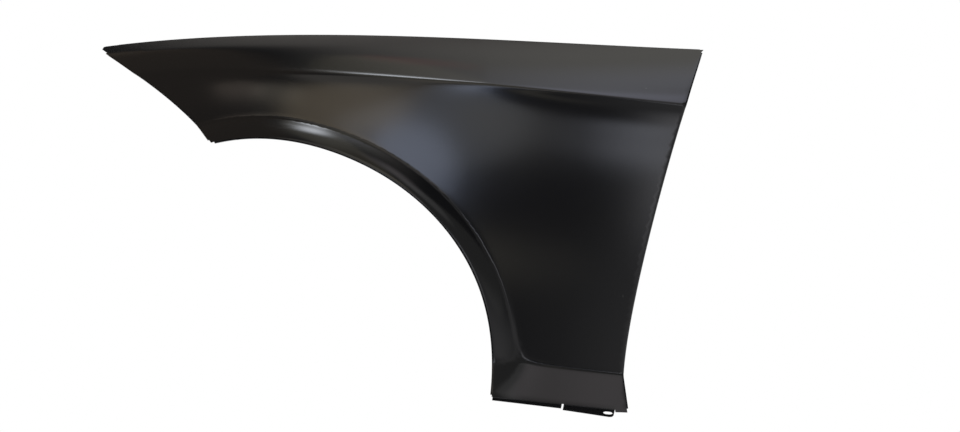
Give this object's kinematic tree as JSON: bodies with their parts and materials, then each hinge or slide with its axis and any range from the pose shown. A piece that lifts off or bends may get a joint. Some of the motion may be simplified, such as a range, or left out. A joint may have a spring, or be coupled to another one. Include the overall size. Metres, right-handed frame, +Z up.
{
  "type": "car fender",
  "caption": "Left front car fender pressed from steel sheet, with a flared wheel arch, a crest line, a slotted gutter flange and turned flanges for bolting to the body.",
  "frame": {"origin": "underside of the rearmost gutter pad, 24 mm behind its bolt slot, where the fender is seated on the car's upper rail", "axes": "+X rearward along the car, -Y outboard (the outer skin faces -Y), +Z up, in the car's own attitude"},
  "size_m": [1.0009, 0.2451, 0.6118],
  "materials": {
    "black_electrocoat": "satin black electro-coat, semi-gloss"
  },
  "bodies": {
    "root": {"fender_panel": "black_electrocoat"}
  },
  "joints": []
}
